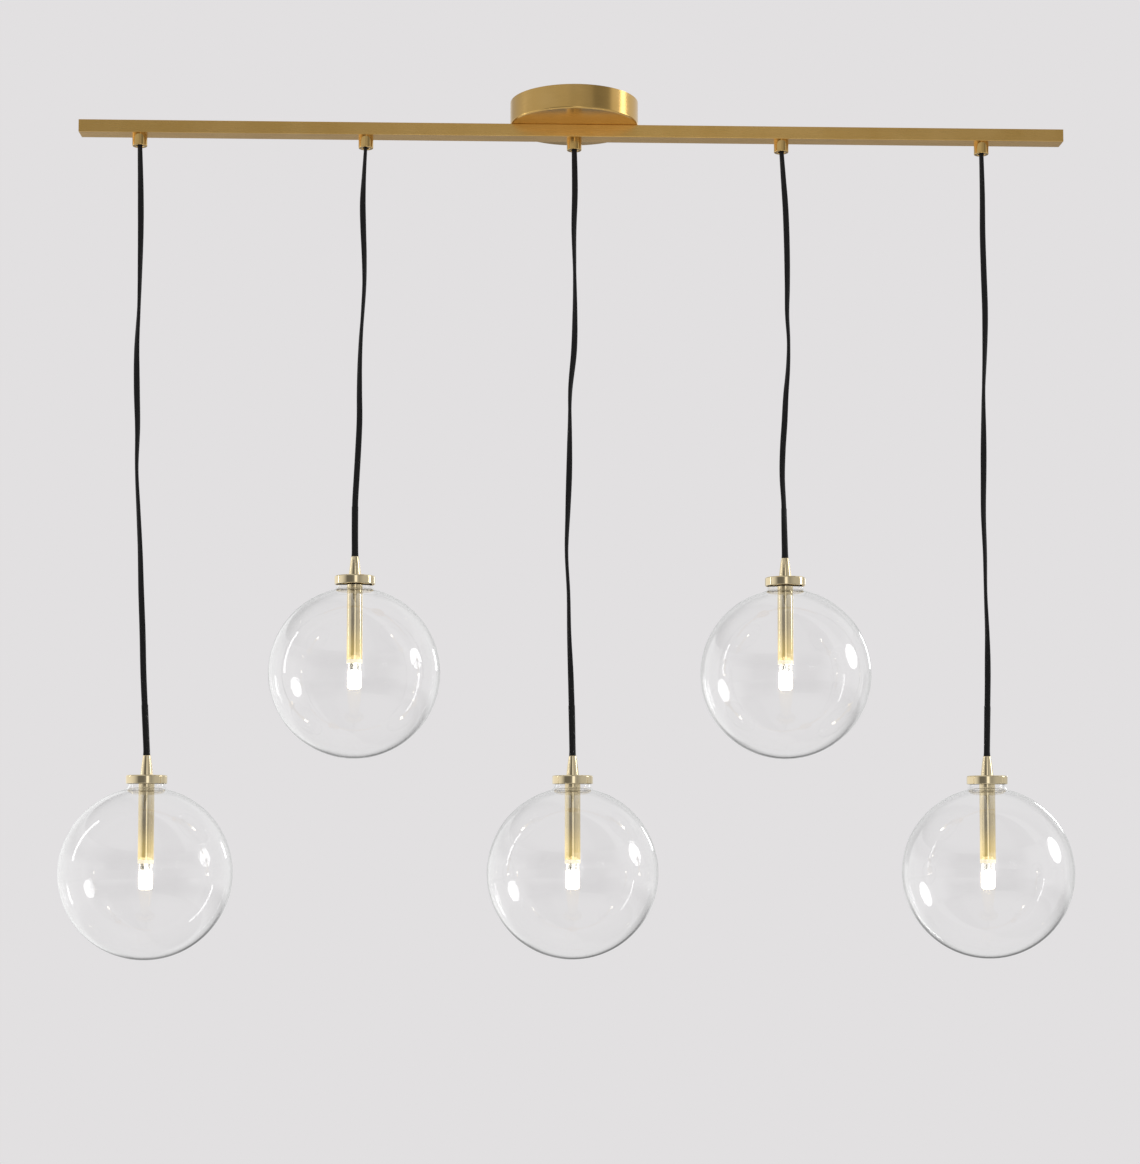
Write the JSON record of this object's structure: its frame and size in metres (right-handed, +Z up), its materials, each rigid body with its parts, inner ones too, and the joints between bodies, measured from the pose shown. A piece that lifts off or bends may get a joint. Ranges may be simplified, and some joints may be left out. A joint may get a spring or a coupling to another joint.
{
  "type": "linear globe pendant light",
  "caption": "Linear pendant light: round ceiling canopy, slim square-edged bar, and clear glass globes with capped brass stems hung on flat cords of two lengths.",
  "frame": {"origin": "centre of the canopy's open rim, on the ceiling plane, midway between the two ceiling slots", "axes": "+Z up out of the canopy into the ceiling, +X along the bar towards pendant 5, -Y towards the room and the viewer; metres"},
  "size_m": [1.2175, 0.206, 1.0417],
  "materials": {
    "brushed_brass": "satin brushed",
    "polished_brass": "semi-polished",
    "zinc_plated_steel": "plated",
    "nylon": "moulded",
    "silicone": "soft matte",
    "wire_insulation": "smooth",
    "lead_sleeve": "woven sleeve",
    "cord_braid": "tight braid",
    "glazed_porcelain": "glazed",
    "clear_glass": "clear blown",
    "lamp_glass": "clear, lit"
  },
  "bodies": {
    "fixture": {"ceiling_bracket": "zinc_plated_steel", "grub_screws": "brushed_brass", "canopy": "brushed_brass", "threaded_tubes": "zinc_plated_steel", "lock_nuts": "zinc_plated_steel", "terminal_block": "nylon", "bar_wires": "wire_insulation", "light_bar": "brushed_brass", "end_caps": "brushed_brass", "cord_collets": "nylon", "ferrule_1": "polished_brass", "ferrule_2": "polished_brass", "ferrule_3": "polished_brass", "ferrule_4": "polished_brass", "ferrule_5": "polished_brass"},
    "pendant_1": {"cord_1": "cord_braid", "gland_1": "polished_brass", "cap_1": "polished_brass", "gasket_1": "silicone", "stem_1": "polished_brass", "holder_1": "glazed_porcelain", "leads_1": "lead_sleeve"},
    "glass_1": {"globe_1": "clear_glass"},
    "light_source_1": {"lamp_1": "lamp_glass"},
    "pendant_2": {"cord_2": "cord_braid", "gland_2": "polished_brass", "cap_2": "polished_brass", "gasket_2": "silicone", "stem_2": "polished_brass", "holder_2": "glazed_porcelain", "leads_2": "lead_sleeve"},
    "glass_2": {"globe_2": "clear_glass"},
    "light_source_2": {"lamp_2": "lamp_glass"},
    "pendant_3": {"cord_3": "cord_braid", "gland_3": "polished_brass", "cap_3": "polished_brass", "gasket_3": "silicone", "stem_3": "polished_brass", "holder_3": "glazed_porcelain", "leads_3": "lead_sleeve"},
    "glass_3": {"globe_3": "clear_glass"},
    "light_source_3": {"lamp_3": "lamp_glass"},
    "pendant_4": {"cord_4": "cord_braid", "gland_4": "polished_brass", "cap_4": "polished_brass", "gasket_4": "silicone", "stem_4": "polished_brass", "holder_4": "glazed_porcelain", "leads_4": "lead_sleeve"},
    "glass_4": {"globe_4": "clear_glass"},
    "light_source_4": {"lamp_4": "lamp_glass"},
    "pendant_5": {"cord_5": "cord_braid", "gland_5": "polished_brass", "cap_5": "polished_brass", "gasket_5": "silicone", "stem_5": "polished_brass", "holder_5": "glazed_porcelain", "leads_5": "lead_sleeve"},
    "glass_5": {"globe_5": "clear_glass"},
    "light_source_5": {"lamp_5": "lamp_glass"}
  },
  "joints": [
    {"name": "swing_1", "type": "hinge", "parent": "fixture", "child": "pendant_1", "pos_m": [-0.528, 0, -0.058], "axis": [1, 0, 0], "range_deg": [-30, 30], "deforming": ["cord_1"]},
    {"name": "globe_turn_1", "type": "hinge", "parent": "pendant_1", "child": "glass_1", "pos_m": [-0.5115, 0, -0.825], "axis": [0, 0, -1], "range_deg": [0, 270]},
    {"name": "lamp_pull_1", "type": "slide", "parent": "pendant_1", "child": "light_source_1", "axis": [0, 0, -1], "range_m": [0, 0.009]},
    {"name": "swing_2", "type": "hinge", "parent": "fixture", "child": "pendant_2", "pos_m": [-0.254, 0, -0.058], "axis": [1, 0, 0], "range_deg": [-30, 30], "deforming": ["cord_2"]},
    {"name": "globe_turn_2", "type": "hinge", "parent": "pendant_2", "child": "glass_2", "pos_m": [-0.2645, 0, -0.585], "axis": [0, 0, -1], "range_deg": [0, 270]},
    {"name": "lamp_pull_2", "type": "slide", "parent": "pendant_2", "child": "light_source_2", "axis": [0, 0, -1], "range_m": [0, 0.009]},
    {"name": "swing_3", "type": "hinge", "parent": "fixture", "child": "pendant_3", "pos_m": [0, 0, -0.058], "axis": [1, 0, 0], "range_deg": [-30, 30], "deforming": ["cord_3"]},
    {"name": "globe_turn_3", "type": "hinge", "parent": "pendant_3", "child": "glass_3", "pos_m": [-0.002, 0, -0.825], "axis": [0, 0, -1], "range_deg": [0, 270]},
    {"name": "lamp_pull_3", "type": "slide", "parent": "pendant_3", "child": "light_source_3", "axis": [0, 0, -1], "range_m": [0, 0.009]},
    {"name": "swing_4", "type": "hinge", "parent": "fixture", "child": "pendant_4", "pos_m": [0.254, 0, -0.058], "axis": [1, 0, 0], "range_deg": [-30, 30], "deforming": ["cord_4"]},
    {"name": "globe_turn_4", "type": "hinge", "parent": "pendant_4", "child": "glass_4", "pos_m": [0.256, 0, -0.585], "axis": [0, 0, -1], "range_deg": [0, 270]},
    {"name": "lamp_pull_4", "type": "slide", "parent": "pendant_4", "child": "light_source_4", "axis": [0, 0, -1], "range_m": [0, 0.009]},
    {"name": "swing_5", "type": "hinge", "parent": "fixture", "child": "pendant_5", "pos_m": [0.501, 0, -0.058], "axis": [1, 0, 0], "range_deg": [-30, 30], "deforming": ["cord_5"]},
    {"name": "globe_turn_5", "type": "hinge", "parent": "pendant_5", "child": "glass_5", "pos_m": [0.5, 0, -0.825], "axis": [0, 0, -1], "range_deg": [0, 270]},
    {"name": "lamp_pull_5", "type": "slide", "parent": "pendant_5", "child": "light_source_5", "axis": [0, 0, -1], "range_m": [0, 0.009]}
  ]
}
